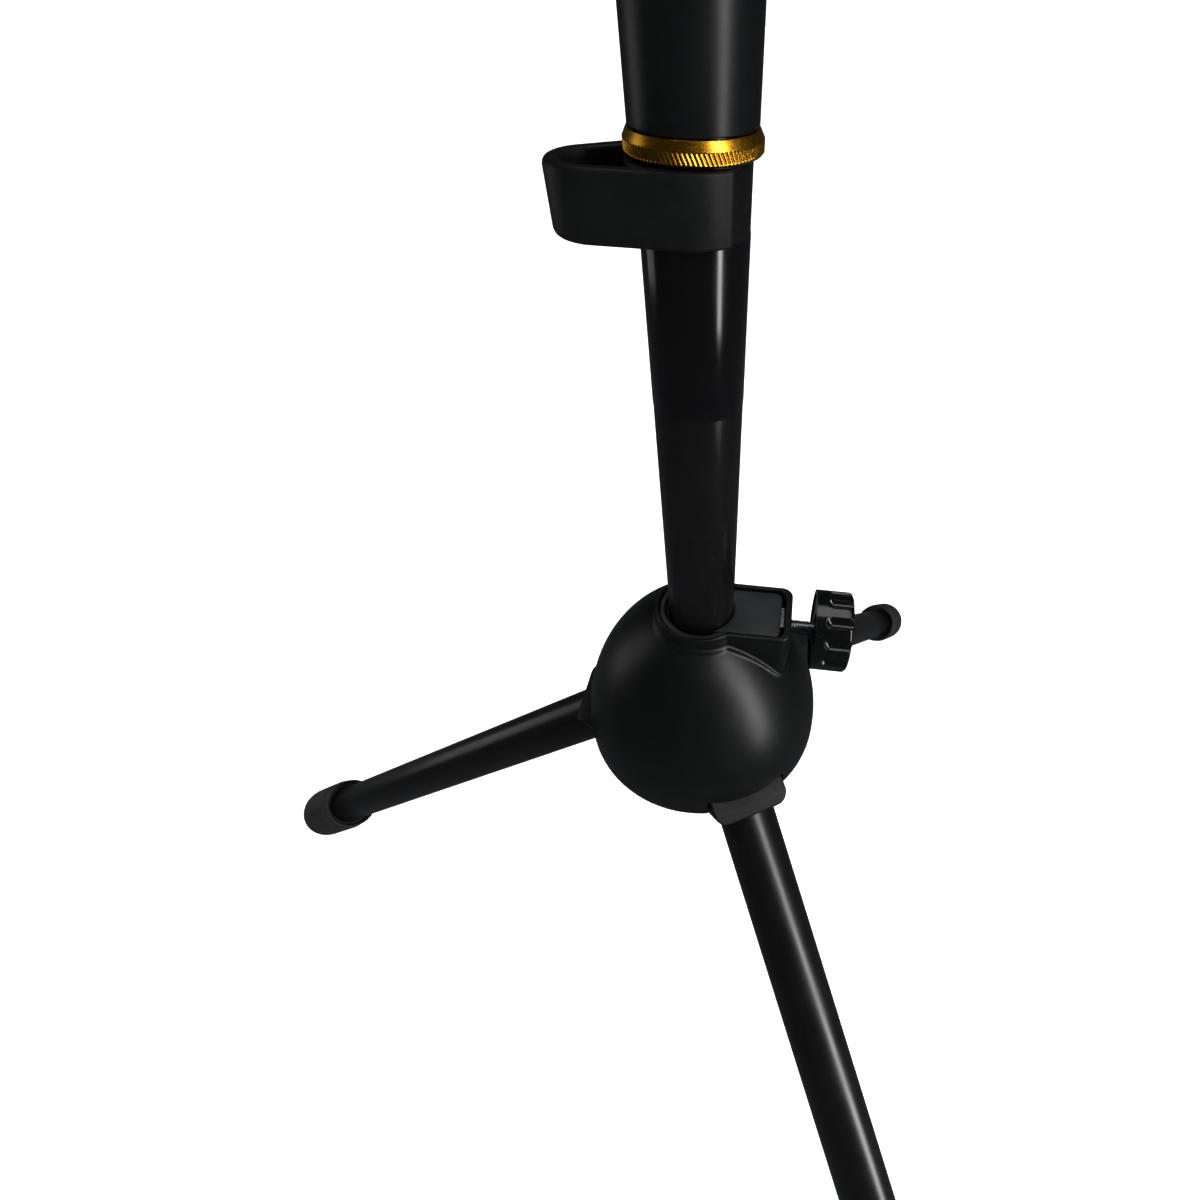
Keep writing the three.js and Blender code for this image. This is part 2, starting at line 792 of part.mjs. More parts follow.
function stand() {
  const group = new THREE.Group();
  group.add(part('hub_shell', hubShell(), satinBlack));
  group.add(part('guide_bush', guideBush(), greyPlastic));
  group.add(part('lower_bush', lowerBush(), greyPlastic));
  group.add(part('base_plate', basePlate(), mattPlastic));
  plateScrewPlaces().forEach(([x, y], i) => {
    const screw = part(`base_screw_${i + 1}`, plateScrew(), zinc);
    screw.position.set(x, y, 0);
    group.add(screw);
  });
  for (let i = 0; i < legCount; i += 1) {
    const pin = part(`pivot_pin_${i + 1}`, pivotPin(), steel);
    pin.rotation.z = legAzimuth(i);
    group.add(pin);
    group.add(leg(i));
  }
  group.add(part('clamp_nut', clampNut(), zinc));
  group.add(part('pressure_block', pressureBlock(), greyPlastic));
  group.add(part('clamp_screw', clampScrew(), zinc));
  group.add(part('clamp_knob', clampKnob(), glossPlastic));
  group.add(part('outer_tube', outerTube(), paintedTube));
  group.add(part('tube_end_ring', tubeEndRing(), mattPlastic));
  group.add(part('label_sleeve', labelSleeve(), glossLabel));
  group.add(part('cable_clip', cableClip(), rubber));
  group.add(part('lock_ring', lockRing(), goldAnodised));
  group.add(part('threaded_sleeve', threadedSleeve(), zinc));
  group.add(part('clutch_collet', collet(), greyPlastic));
  group.add(part('clutch_grip', clutchGrip(), satinBlack));
  group.add(part('inner_tube', innerTube(), paintedTube));
  group.add(part('inner_bush', innerBush(), greyPlastic));
  group.add(part('stud_collar', studCollar(), satinBlack));
  group.add(part('mic_stud', micStud(), zinc));
  group.position.z = hubZ;
  return group;
}

const model = new THREE.Group();
model.name = 'desktop_mic_stand';
const upper = stand();
model.add(upper);
model.updateMatrixWorld(true);
const box = new THREE.Box3().setFromObject(model, true);
upper.position.x = -(box.min.x + box.max.x) / 2;
upper.position.z -= box.min.z;
model.updateMatrixWorld(true);

export default model;
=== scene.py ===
import math

import bmesh
import bpy
from mathutils import Matrix, Vector


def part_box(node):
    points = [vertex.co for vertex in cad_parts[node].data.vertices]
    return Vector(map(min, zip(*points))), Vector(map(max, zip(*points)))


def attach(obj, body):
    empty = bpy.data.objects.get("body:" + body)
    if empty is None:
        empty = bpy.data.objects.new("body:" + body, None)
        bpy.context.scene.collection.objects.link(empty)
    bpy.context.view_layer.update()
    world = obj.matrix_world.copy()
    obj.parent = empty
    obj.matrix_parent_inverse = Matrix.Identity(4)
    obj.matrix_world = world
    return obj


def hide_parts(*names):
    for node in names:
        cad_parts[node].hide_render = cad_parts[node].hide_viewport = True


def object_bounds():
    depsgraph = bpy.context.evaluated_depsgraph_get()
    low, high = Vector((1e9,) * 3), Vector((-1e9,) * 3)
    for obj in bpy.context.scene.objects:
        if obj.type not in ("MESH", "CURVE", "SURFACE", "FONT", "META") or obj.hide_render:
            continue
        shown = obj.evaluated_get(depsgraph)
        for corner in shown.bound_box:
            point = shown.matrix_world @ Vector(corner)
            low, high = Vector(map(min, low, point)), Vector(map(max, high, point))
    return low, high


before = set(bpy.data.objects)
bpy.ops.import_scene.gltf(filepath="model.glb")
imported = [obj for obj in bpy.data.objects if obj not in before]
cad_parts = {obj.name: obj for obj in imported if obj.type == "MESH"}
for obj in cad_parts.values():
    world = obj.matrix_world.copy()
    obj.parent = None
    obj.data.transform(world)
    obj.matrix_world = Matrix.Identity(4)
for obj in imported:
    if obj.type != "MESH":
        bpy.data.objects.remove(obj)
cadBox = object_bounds()
scene = bpy.context.scene
mm = 0.001
fullTurn = 2 * math.pi
print("frame loaded:", len(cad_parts), "nodes")

# where things are, taken from the frame
hub = {
    "radius": 42,
    "dome": 57,  # height of the half egg above the widest circle
    "skirt": 16,
    "base": 11,  # flat underside, below the widest circle
    "lipTop": 59,
    "lipRadius": 14.3,
    "seatRadius": 13.2,  # bore that holds the guide bush
    "bore": 12,  # room round the tube
    "plateSeat": 27.15,  # recess underneath for the base cover
    "plateDepth": 3.15,
    "bossHalf": 11,
    "bossEnd": 28.2,
    "bossCorner": 3.5,
    "pocketHalf": 9.4,
    "pocketEnd": 26,
    "pocketDepth": 14.5,
    "bead": 0.8,  # raised line where the collar leaves the dome
    "column": 15.8,  # solid core between the leg slots
    "slotWidth": 28,
    "grain": 0.4,  # mesh size of the smooth moulding
}
tubeLow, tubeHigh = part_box("outer_tube")
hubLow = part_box("hub_shell")[0]
standAxis = (tubeLow.x + tubeHigh.x) / 2
hubLevel = hubLow.z + hub["base"] * mm
standPlace = Matrix.Translation((standAxis, 0, hubLevel))


def heightOf(node, end):
    # height of a node's underside (0) or top (1) above the hub's widest circle, in millimetres
    return (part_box(node)[end].z - hubLevel) / mm


# camera
camera = {
    "place": (18.93, -122.0, 195.98),  # from the middle of the hub's widest circle
    "heading": 94.54,
    "tilt": -49.85,
    "roll": 2.32,
    "lens": 17.757,
    "shiftX": -0.1087,
    "shiftY": 0.0208,
}


def makeCamera():
    heading = math.radians(camera["heading"])
    tilt = math.radians(camera["tilt"])
    roll = math.radians(camera["roll"])
    forward = Vector((
        math.cos(tilt) * math.cos(heading),
        math.cos(tilt) * math.sin(heading),
        math.sin(tilt),
    ))
    level = forward.cross(Vector((0, 0, 1))).normalized()
    upright = level.cross(forward)
    right = level * math.cos(roll) + upright * math.sin(roll)
    up = upright * math.cos(roll) - level * math.sin(roll)
    turn = Matrix((right, up, -forward)).transposed().to_4x4()
    data = bpy.data.cameras.new("camera")
    data.lens = camera["lens"]
    data.shift_x = camera["shiftX"]
    data.shift_y = camera["shiftY"]
    data.clip_start = 0.01
    seen = bpy.data.objects.new("camera", data)
    scene.collection.objects.link(seen)
    seen.matrix_world = standPlace @ Matrix.Translation(Vector(camera["place"]) * mm) @ turn
    scene.camera = seen


makeCamera()
print("camera placed")

# materials


def hexColour(code):
    shares = [int(code[i:i + 2], 16) / 255 for i in (1, 3, 5)]
    linear = [s / 12.92 if s <= 0.04045 else ((s + 0.055) / 1.055) ** 2.4 for s in shares]
    return (*linear, 1)


def perMetre(size):
    return 1000 / size  # noise scale whose features are about this many millimetres


def addNode(tree, kind, settings=None, links=None):
    node = tree.nodes.new(kind)
    for name, value in (settings or {}).items():
        if isinstance(name, int) or name in node.inputs:
            node.inputs[name].default_value = value
        else:
            setattr(node, name, value)
    for name, source in (links or {}).items():
        tree.links.new(source, node.inputs[name])
    return node


def startMaterial(name, shaderSettings):
    material = bpy.data.materials.new(name)
    material.use_nodes = True
    tree = material.node_tree
    tree.nodes.clear()
    shader = addNode(tree, "ShaderNodeBsdfPrincipled", shaderSettings)
    addNode(tree, "ShaderNodeOutputMaterial", links={"Surface": shader.outputs["BSDF"]})
    place = addNode(tree, "ShaderNodeTexCoord").outputs["Object"]
    return material, tree, shader, place


def noiseOf(tree, place, size, detail=3):
    settings = {"Scale": perMetre(size), "Detail": detail, "Roughness": 0.55}
    return addNode(tree, "ShaderNodeTexNoise", settings, {"Vector": place}).outputs["Fac"]


def varied(tree, shader, source, colours, roughness):
    # one pattern drives a slight change of colour and of roughness
    mixed = addNode(
        tree,
        "ShaderNodeMix",
        {"data_type": "RGBA", 6: hexColour(colours[0]), 7: hexColour(colours[1])},
        {0: source},
    )
    tree.links.new(mixed.outputs[2], shader.inputs["Base Color"])
    ranged = addNode(
        tree,
        "ShaderNodeMapRange",
        {"From Min": 0.3, "From Max": 0.7, "To Min": roughness[0], "To Max": roughness[1]},
        {"Value": source},
    )
    tree.links.new(ranged.outputs["Result"], shader.inputs["Roughness"])


def raised(tree, shader, source, height, strength=1.0):
    settings = {"Strength": strength, "Distance": height * mm}
    bump = addNode(tree, "ShaderNodeBump", settings, {"Height": source})
    tree.links.new(bump.outputs["Normal"], shader.inputs["Normal"])


def stretched(tree, place, scale):
    return addNode(tree, "ShaderNodeMapping", {"Scale": scale}, {"Vector": place}).outputs["Vector"]


def mouldedAbs():
    # ABS moulded in a spark-eroded tool: an even satin with a broad soft highlight
    material, tree, shader, place = startMaterial(
        "abs_spark_eroded",
        {"IOR": 1.5, "Specular IOR Level": 0.26},
    )
    varied(tree, shader, noiseOf(tree, place, 14), ("#070808", "#0a0b0b"), (0.33, 0.39))
    raised(tree, shader, noiseOf(tree, place, 0.45, 2), 0.03, 0.35)  # 0.1 mm grain drawn coarser to show
    return material


def mouldedNylon():
    # glass-filled nylon: matt and slightly mottled where the glass comes up
    material, tree, shader, place = startMaterial(
        "nylon_glass_filled",
        {"IOR": 1.53, "Specular IOR Level": 0.15},
    )
    varied(tree, shader, noiseOf(tree, place, 6, 5), ("#070809", "#0c0d0e"), (0.42, 0.54))
    raised(tree, shader, noiseOf(tree, place, 0.5), 0.03, 0.4)
    return material


def greyNylon():
    # plain nylon insert, dark grey, a little paler than the shell around it
    material, tree, shader, place = startMaterial(
        "nylon_dark_grey",
        {"IOR": 1.53, "Specular IOR Level": 0.4},
    )
    varied(tree, shader, noiseOf(tree, place, 5, 4), ("#1a1c1e", "#212325"), (0.42, 0.52))
    raised(tree, shader, noiseOf(tree, place, 0.6), 0.02, 0.35)
    return material


def powderCoat():
    # powder-coated steel tube: semi-gloss with a faint orange peel
    material, tree, shader, place = startMaterial(
        "powder_coat_black",
        {"IOR": 1.5, "Specular IOR Level": 0.38},
    )
    varied(tree, shader, noiseOf(tree, place, 20), ("#080809", "#0c0c0d"), (0.27, 0.34))
    raised(tree, shader, noiseOf(tree, place, 1.6, 1), 0.02, 0.25)
    return material


def enamelledStem():
    # stoved enamel over drawn steel: deeper gloss, with fine lengthwise draw lines
    material, tree, shader, place = startMaterial(
        "stoved_enamel_black",
        {"IOR": 1.5, "Specular IOR Level": 0.32},
    )
    lines = noiseOf(tree, stretched(tree, place, (1, 1, 0.02)), 1.6, 1)
    varied(tree, shader, noiseOf(tree, place, 18), ("#070708", "#0a0a0b"), (0.2, 0.28))
    raised(tree, shader, lines, 0.003, 0.12)
    return material


def glossFilm():
    # printed polyester film with its print left blank: gloss black, with slight waves from the adhesive
    material, tree, shader, place = startMaterial(
        "polyester_film",
        {"IOR": 1.55, "Coat Weight": 0.15, "Coat Roughness": 0.08, "Specular IOR Level": 0.25},
    )
    varied(tree, shader, noiseOf(tree, place, 9), ("#040405", "#060607"), (0.14, 0.2))
    raised(tree, shader, noiseOf(tree, place, 7, 1), 0.02, 0.3)
    return material


def mouldedTpe():
    # thermoplastic rubber, moulded: matt, soft edges that catch a dull grey light
    material, tree, shader, place = startMaterial(
        "tpe_moulded",
        {"IOR": 1.5, "Specular IOR Level": 0.14},
    )
    varied(tree, shader, noiseOf(tree, place, 5, 4), ("#070808", "#0b0c0d"), (0.42, 0.52))
    raised(tree, shader, noiseOf(tree, place, 0.5), 0.03, 0.35)
    return material


def footRubber():
    # natural rubber, compression moulded: dusty charcoal
    material, tree, shader, place = startMaterial(
        "rubber_moulded",
        {"IOR": 1.52, "Specular IOR Level": 0.4},
    )
    varied(tree, shader, noiseOf(tree, place, 6, 6), ("#161616", "#1f1f1e"), (0.55, 0.72))
    raised(tree, shader, noiseOf(tree, place, 0.7), 0.05, 0.5)
    return material


def goldAnodised():
    # aluminium, knurled then anodised gold: warm metal, burnished on the crests and duller in the grooves
    material, tree, shader, place = startMaterial("aluminium_gold_anodised", {"Metallic": 1.0})
    tool = noiseOf(tree, stretched(tree, place, (1, 1, 8)), 0.6, 4)
    varied(tree, shader, tool, ("#c2820f", "#e8ae38"), (0.2, 0.34))
    raised(tree, shader, tool, 0.01, 0.35)
    return material


def glossAbs():
    # ABS from a polished tool: wet-looking gloss with small bright glints
    material, tree, shader, place = startMaterial(
        "abs_polished",
        {"IOR": 1.5, "Specular IOR Level": 0.5},
    )
    varied(tree, shader, noiseOf(tree, place, 4), ("#060707", "#090a0a"), (0.12, 0.2))
    raised(tree, shader, noiseOf(tree, place, 2.5, 1), 0.01, 0.25)
    return material


def zincPlate():
    # bright zinc plate on rolled thread: clean grey metal with a faint cloud
    material, tree, shader, place = startMaterial("zinc_plated_steel", {"Metallic": 1.0})
    varied(tree, shader, noiseOf(tree, place, 1.5, 5), ("#9a9da1", "#c4c7ca"), (0.2, 0.38))
    raised(tree, shader, noiseOf(tree, place, 0.4), 0.01, 0.3)
    return material


def nickelPlate():
    # nickel plate on turned steel: paler and brighter than zinc, with turning marks
    material, tree, shader, place = startMaterial("nickel_plated_steel", {"Metallic": 1.0})
    turning = noiseOf(tree, stretched(tree, place, (0.2, 0.2, 6)), 1, 3)
    varied(tree, shader, turning, ("#b5b1a8", "#d2cec4"), (0.16, 0.28))
    raised(tree, shader, turning, 0.006, 0.3)
    return material


def groundSteel():
    # centreless-ground steel pin: grey with fine rings
    material, tree, shader, place = startMaterial("steel_ground", {"Metallic": 1.0})
    varied(tree, shader, noiseOf(tree, place, 0.8, 5), ("#77797c", "#96989b"), (0.28, 0.4))
    return material


def softTouch():
    # satin lacquer over the clutch barrel: smooth black with a soft upright highlight
    material, tree, shader, place = startMaterial(
        "satin_lacquer",
        {"IOR": 1.5, "Specular IOR Level": 0.22},
    )
    varied(tree, shader, noiseOf(tree, place, 12), ("#060708", "#090a0b"), (0.3, 0.36))
    raised(tree, shader, noiseOf(tree, place, 0.5, 2), 0.015, 0.3)
    return material


def paleFloor():
    # matt painted board, with a glow of its own that keeps it near white
    material, tree, shader, place = startMaterial(
        "painted_board",
        {"Specular IOR Level": 0.1, "Emission Color": hexColour("#ffffff"), "Emission Strength": 0.8},
    )
    varied(tree, shader, noiseOf(tree, place, 300), ("#f1f1f0", "#f6f6f5"), (0.85, 0.95))
    return material


hubPlastic = mouldedAbs()
knucklePlastic = mouldedNylon()
insertPlastic = greyNylon()
legCoat = powderCoat()
stemCoat = enamelledStem()
labelFilm = glossFilm()
clipRubber = mouldedTpe()
footBlack = footRubber()
gold = goldAnodised()
knobPlastic = glossAbs()
zinc = zincPlate()
nickel = nickelPlate()
pinSteel = groundSteel()
clutchCoat = softTouch()
print("materials made")

# mesh tools


def softened(corners, closed=False, steps=5):
    # [x, y, radius] corners to points, with an arc wherever a radius is given
    points = []
    for i, (x, y, radius) in enumerate(corners):
        corner = Vector((x, y))
        ends = not closed and i in (0, len(corners) - 1)
        if radius <= 0 or ends:
            points.append((x, y))
            continue
        before = Vector(corners[i - 1][:2]) - corner
        after = Vector(corners[(i + 1) % len(corners)][:2]) - corner
        half = before.angle(after) / 2
        reach = min(radius / math.tan(half), before.length * 0.49, after.length * 0.49)
        size = reach * math.tan(half)
        middle = corner + (before.normalized() + after.normalized()).normalized() * size / math.sin(half)
        start = corner + before.normalized() * reach - middle
        finish = corner + after.normalized() * reach - middle
        swing = start.angle_signed(finish)
        for step in range(steps + 1):
            turn = -swing * step / steps
            spun = Matrix.Rotation(turn, 2) @ start
            points.append(tuple(middle + spun))
    return points


def arcPoints(centre, radius, start, finish, steps):
    # points of an arc, for an outline; angles in radians
    return [
        (
            centre[0] + radius * math.cos(start + (finish - start) * i / steps),
            centre[1] + radius * math.sin(start + (finish - start) * i / steps),
            0,
        )
        for i in range(steps + 1)
    ]


def turned(profile, facets=128, closed=False, relief=None):
    # profile of (radius, height) spun round Z; relief(angle, height) is cut from the radius
    shape = bmesh.new()
    rings = []
    for radius, height in profile:
        if radius < 1e-6:
            rings.append([shape.verts.new((0, 0, height))] * facets)
            continue
        ring = []
        for i in range(facets):
            angle = fullTurn * i / facets
            reach = radius - (relief(angle, height, radius) if relief else 0)
            ring.append(shape.verts.new((reach * math.cos(angle), reach * math.sin(angle), height)))
        rings.append(ring)
    following = rings[1:] + rings[:1] if closed else rings[1:]
    for lower, upper in zip(rings, following):
        for i in range(facets):
            j = (i + 1) % facets
            corners = list(dict.fromkeys((lower[i], lower[j], upper[j], upper[i])))
            if len(corners) > 2:
                shape.faces.new(corners)
    return shape


def slab(loops, low, high, edge, steps=4):
    # outlines pulled up along Z with rounded rims; the outer loop runs anticlockwise and holes clockwise
    shape = bmesh.new()
    rimSteps = [i / steps * math.pi / 2 for i in range(steps + 1)]
    caps = {0: [], 1: []}
    for loop in loops:
        points = [Vector(p[:2]) for p in loop]
        inward = []
        for i, point in enumerate(points):
            ahead = (points[(i + 1) % len(points)] - point).normalized()
            behind = (point - points[i - 1]).normalized()
            along = (ahead + behind).normalized()
            bend = max(0.4, along.dot(ahead))
            inward.append(Vector((-along.y, along.x)) / bend)
        widths = [edge(p) if callable(edge) else edge for p in points]
        rings = []
        for sideways, rise in [(1 - math.cos(a), 1 - math.sin(a)) for a in reversed(rimSteps)]:
            rings.append([
                shape.verts.new((*(p + n * w * sideways), low + w * rise))
                for p, n, w in zip(points, inward, widths)
            ])
        for sideways, rise in [(1 - math.cos(a), 1 - math.sin(a)) for a in rimSteps]:
            rings.append([
                shape.verts.new((*(p + n * w * sideways), high - w * rise))
                for p, n, w in zip(points, inward, widths)
            ])
        count = len(points)
        for lower, upper in zip(rings, rings[1:]):
            for i in range(count):
                j = (i + 1) % count
                shape.faces.new((lower[i], lower[j], upper[j], upper[i]))
        for cap, ring in ((0, rings[0]), (1, rings[-1])):
            caps[cap] += [shape.edges.get((ring[i], ring[(i + 1) % count])) for i in range(count)]
    for edges in caps.values():
        bmesh.ops.triangle_fill(shape, edges=edges, use_beauty=True)
    return shape


def lying(shape, axis="X"):
    # a shape made along Z, laid along X, or one made flat turned upright to face along Y
    turn = Matrix.Rotation(math.pi / 2, 4, "Y" if axis == "X" else "X")
    bmesh.ops.transform(shape, matrix=turn, verts=shape.verts)
    return shape


def moved(shape, place):
    bmesh.ops.transform(shape, matrix=place, verts=shape.verts)
    return shape


def tempObject(shape):
    bmesh.ops.recalc_face_normals(shape, faces=shape.faces)
    mesh = bpy.data.meshes.new("temp")
    shape.to_mesh(mesh)
    shape.free()
    helper = bpy.data.objects.new("temp", mesh)
    scene.collection.objects.link(helper)
    return helper


def moulded(base, steps, grain, smoothing=4):
    # joins and cuts solids, then rounds every edge as a mould does; steps are (operation, shape)
    body = tempObject(base)
    helpers = []
    for operation, shape in steps:
        helper = tempObject(shape)
        helpers.append(helper)
        change = body.modifiers.new("change", "BOOLEAN")
        change.operation = operation
        change.solver = "EXACT"
        change.object = helper
    if grain:
        remesh = body.modifiers.new("remesh", "REMESH")
        remesh.mode = "VOXEL"
        remesh.voxel_size = grain
        smooth = body.modifiers.new("smooth", "SMOOTH")
        smooth.factor = 0.5
        smooth.iterations = smoothing
    graph = bpy.context.evaluated_depsgraph_get()
    mesh = bpy.data.meshes.new_from_object(body.evaluated_get(graph))
    result = bmesh.new()
    result.from_mesh(mesh)
    for helper in (*helpers, body):
        bpy.data.objects.remove(helper)
    return result


def finishMesh(name, shape, material, sharp=35):
    # metres, smooth faces, and hard edges only where the surface really turns
    bmesh.ops.recalc_face_normals(shape, faces=shape.faces)
    for face in shape.faces:
        face.smooth = True
        face.material_index = 0
    for edge in shape.edges:
        edge.smooth = edge.calc_face_angle(0) < math.radians(sharp)
    mesh = bpy.data.meshes.new(name)
    shape.to_mesh(mesh)
    shape.free()
    mesh.transform(Matrix.Scale(mm, 4))
    mesh.materials.clear()
    mesh.materials.append(material)
    return mesh


def showPiece(name, mesh, body, nodes, place=None):
    mesh = mesh.copy()
    mesh.transform(place or Matrix.Identity(4))
    piece = bpy.data.objects.new(name, mesh)
    scene.collection.objects.link(piece)
    piece.matrix_world = standPlace
    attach(piece, body)
    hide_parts(*nodes)
    return piece


def metres(matrix):
    # a placement given in millimetres, in metres
    return Matrix.Translation(matrix.to_translation() * mm) @ matrix.to_3x3().to_4x4()


# legs' places
legs = {
    "count": 3,
    "first": 180,
    "slope": 39,
    "apexRise": 23.5,  # where the legs' axes meet, above the hub's widest circle
    "reach": 307,  # along a leg from there to the end of the foot
    "pivotCircle": 27.5,
    "radius": 10,
    "wall": 1,
}
slope = math.radians(legs["slope"])
pivotRise = legs["apexRise"] - legs["pivotCircle"] * math.tan(slope)
pivotAlong = legs["pivotCircle"] / math.cos(slope)
legTurns = [math.radians(legs["first"] + 360 / legs["count"] * i) for i in range(legs["count"])]


def legPlace(turn):
    pivot = Matrix.Translation((legs["pivotCircle"], 0, pivotRise))
    return Matrix.Rotation(turn, 4, "Z") @ pivot @ Matrix.Rotation(slope, 4, "Y")


# hub


def eggProfile(grow=0):
    radius = hub["radius"] + grow
    below = []
    for i in range(9):
        z = -hub["base"] * (1 - i / 9)
        below.append((radius * math.sqrt(1 - (z / (hub["skirt"] + grow)) ** 2), z))
    rows = 72
    above = []
    for i in range(rows + 1):
        turn = i / rows * math.pi / 2
        above.append((radius * math.cos(turn) if i < rows else 0, (hub["dome"] + grow) * math.sin(turn)))
    return [(0, -hub["base"])] + below + above


def keyhole(radius, half, end, corner):
    # a ring opened into a tongue along +X
    start = math.asin(half / radius)
    outline = arcPoints((0, 0), radius, start, fullTurn - start, 72)
    return softened([*outline, (end, -half, corner), (end, half, corner)], closed=True, steps=8)


def collarOutline(grow=0):
    return keyhole(
        hub["lipRadius"] + grow,
        hub["bossHalf"] + grow,
        hub["bossEnd"] + grow,
        hub["bossCorner"] + grow,
    )


def pocketOutline(grow=0):
    return keyhole(
        hub["seatRadius"] + grow,
        hub["pocketHalf"] + grow,
        hub["pocketEnd"] + grow,
        hub["bossCorner"] - 1 + grow,
    )


def slotCutter(extra=0):
    # the room a leg needs to fold down, as an upright profile pulled sideways
    def along(s, v):
        return (
            s * math.cos(slope) + v * math.sin(slope),
            legs["apexRise"] - s * math.sin(slope) + v * math.cos(slope),
            0,
        )

    roof = legs["radius"] + 2.5
    low = -33
    far = 82
    room = 10
    corners = [
        (hub["column"], low, 0),
        (far, low, 0),
        along(far, roof),
        along(46.8, roof),
        *arcPoints((legs["pivotCircle"], pivotRise), room, math.pi / 2 - slope, math.radians(150), 16),
        (hub["column"], pivotRise + 3, 0),
    ]
    half = hub["slotWidth"] / 2 + extra
    return lying(slab([corners], -half, half, 0.01, 1), "Y")


def atLeg(shape, turn):
    return moved(shape, Matrix.Rotation(turn, 4, "Z"))


def makeHub():
    bead = moulded(
        slab([collarOutline(hub["bead"])], 20, hub["lipTop"] + 5, 0.01, 1),
        [("INTERSECT", turned(eggProfile(hub["bead"]), 192))],
        0,
    )
    seat = hub["plateSeat"]
    seatTop = hub["plateDepth"] - hub["base"]
    steps = [
        ("UNION", bead),
        ("DIFFERENCE", slab([pocketOutline(0.5)], hub["lipTop"] - hub["pocketDepth"], 70, 0.01, 1)),
        ("DIFFERENCE", turned([(0, -20), (hub["bore"], -20), (hub["bore"], 80), (0, 80)], 96)),
        ("DIFFERENCE", turned([(0, -20), (seat, -20), (seat, seatTop), (0, seatTop)], 128)),
    ]
    steps += [("DIFFERENCE", atLeg(slotCutter(), turn)) for turn in legTurns]
    body = moulded(turned(eggProfile(), 192), steps, hub["grain"], 3)
    showPiece("hub_body", finishMesh("hub_body", body, hubPlastic, 60), "hub", ["hub_shell"])
    hole = list(reversed(pocketOutline()))
    collar = slab([collarOutline(), hole], 30, hub["lipTop"], 0.4)
    showPiece("hub_collar", finishMesh("hub_collar", collar, hubPlastic), "hub", ["hub_shell"])


makeHub()
print("hub made")

insert = {
    "drop": 0.8,  # the bush and the block sit this far below the collar's rim
    "bore": 10.25,
    "bushRadius": 13.05,
    "bushHeight": 20,
    "blockEnd": 24.9,
    "blockHalf": 9,
    "corner": 2.1,
    "rim": 0.45,
    "clear": 0.3,  # under the block
    "gateHalf": 9.3,  # half the gap that the bush leaves for the block
    "nutHalf": 4.4,
}
insertTop = hub["lipTop"] - insert["drop"]
pocketFloor = hub["lipTop"] - hub["pocketDepth"]


def makeGuideBush():
    bottom = insertTop - insert["bushHeight"]
    ring = turned(
        softened(
            [
                (insert["bore"], bottom, 0.2),
                (insert["bushRadius"], bottom, 0.3),
                (insert["bushRadius"], insertTop, 0.3),
                (insert["bore"] + 1.3, insertTop, 0.35),
                (insert["bore"] + 0.7, insertTop - 1.6, 0.3),
                (insert["bore"], insertTop - 1.9, 0.2),
            ],
            closed=True,
        ),
        144,
        closed=True,
    )
    half = insert["gateHalf"]
    loop = [(0, -half, 0), (30, -half, 0), (30, half, 0), (0, half, 0)]
    gate = slab([loop], pocketFloor - 0.15, 70, 0.01, 1)
    shape = moulded(ring, [("DIFFERENCE", gate)], 0)
    mesh = finishMesh("guide_ring", shape, insertPlastic)
    showPiece("guide_ring", mesh, "hub", ["guide_bush"])


def makePressureBlock():
    half = insert["blockHalf"]
    reach = 10.15
    swing = math.asin(half / reach) - 0.04
    front = arcPoints((0, 0), reach, swing, -swing, 24)
    outline = [
        *front,
        (7, -half, 0.4),
        (insert["blockEnd"], -half, insert["corner"]),
        (insert["blockEnd"], half, insert["corner"]),
        (7, half, 0.4),
    ]
    loops = [softened(outline, closed=True, steps=8)]
    block = slab(loops, pocketFloor + insert["clear"], insertTop, insert["rim"])
    nut = insert["nutHalf"]
    loop = [(20, -nut, 0), (40, -nut, 0), (40, nut, 0), (20, nut, 0)]
    nutRoom = slab([loop], 30, hub["lipTop"] - 1.8, 0.01, 1)
    shape = moulded(block, [("DIFFERENCE", nutRoom)], 0)
    mesh = finishMesh("clamp_insert", shape, insertPlastic)
    showPiece("clamp_insert", mesh, "clamp_block", ["pressure_block"])


base = {"thickness": 3, "radius": 27, "bore": 10.65, "screwCircle": 21.5, "screwRadius": 1.65, "rim": 0.6}


def screwPlaces():
    middle = math.pi / legs["count"]
    return [
        (base["screwCircle"] * math.cos(turn + middle), base["screwCircle"] * math.sin(turn + middle))
        for turn in legTurns
    ]


def makeBase():
    low = -hub["base"]
    profile = [
        (base["bore"], low, 0.4),
        (17, low, 0.3),
        (17.4, low + 0.5, 0.3),
        (18.6, low + 0.5, 0.3),
        (19, low, 0.3),
        (base["radius"], low, base["rim"]),
        (base["radius"], low + base["thickness"], 0.2),
        (base["bore"], low + base["thickness"], 0.2),
    ]
    steps = [("DIFFERENCE", atLeg(slotCutter(1), turn)) for turn in legTurns]
    for x, y in screwPlaces():
        hole = turned([(0, -20), (base["screwRadius"], -20), (base["screwRadius"], 0), (0, 0)], 32)
        steps.append(("DIFFERENCE", moved(hole, Matrix.Translation((x, y, 0)))))
    shape = moulded(turned(softened(profile, closed=True), 160, closed=True), steps, 0)
    mesh = finishMesh("base_cover", shape, knucklePlastic)
    showPiece("base_cover", mesh, "hub", ["base_plate"])


screw = {"head": 2.7, "shank": 1.5, "recess": 0.9, "length": 13.5, "pitch": 1.0}


